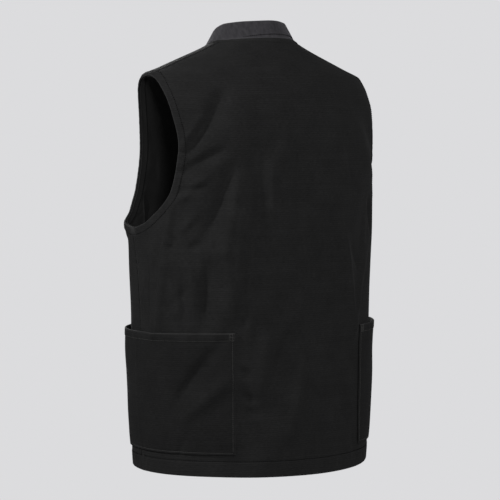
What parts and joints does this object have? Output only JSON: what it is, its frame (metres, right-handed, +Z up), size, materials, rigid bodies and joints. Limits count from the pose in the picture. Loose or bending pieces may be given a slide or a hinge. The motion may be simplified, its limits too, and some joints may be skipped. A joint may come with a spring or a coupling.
{
  "type": "utility work vest",
  "caption": "Sleeveless canvas work vest with a ribbed stand collar, a front zip and large open patch pockets round both side seams, shown worn.",
  "frame": {"origin": "middle of the neck base, level with the inner ends of the shoulder seams, where the vest hangs on its wearer's neck and shoulders", "axes": "+Z up, -Y out of the vest's front, +X to the wearer's left"},
  "size_m": [0.4461, 0.2809, 0.711],
  "materials": {
    "canvas": "matte washed black canvas",
    "ribbed_cloth": "matte charcoal corded cloth",
    "lining_cloth": "soft matte black lining",
    "zip": "dark oxidised zip teeth on black tape"
  },
  "bodies": {
    "root": {"back_panel": "canvas", "front_left_panel": "canvas", "front_right_panel": "canvas", "armhole_facing_left": "canvas", "armhole_facing_right": "canvas", "pocket_left": "canvas", "pocket_right": "canvas", "collar_stand": "ribbed_cloth", "lining_back": "lining_cloth", "lining_front_left": "lining_cloth", "lining_front_right": "lining_cloth", "front_zip": "zip"}
  },
  "joints": []
}
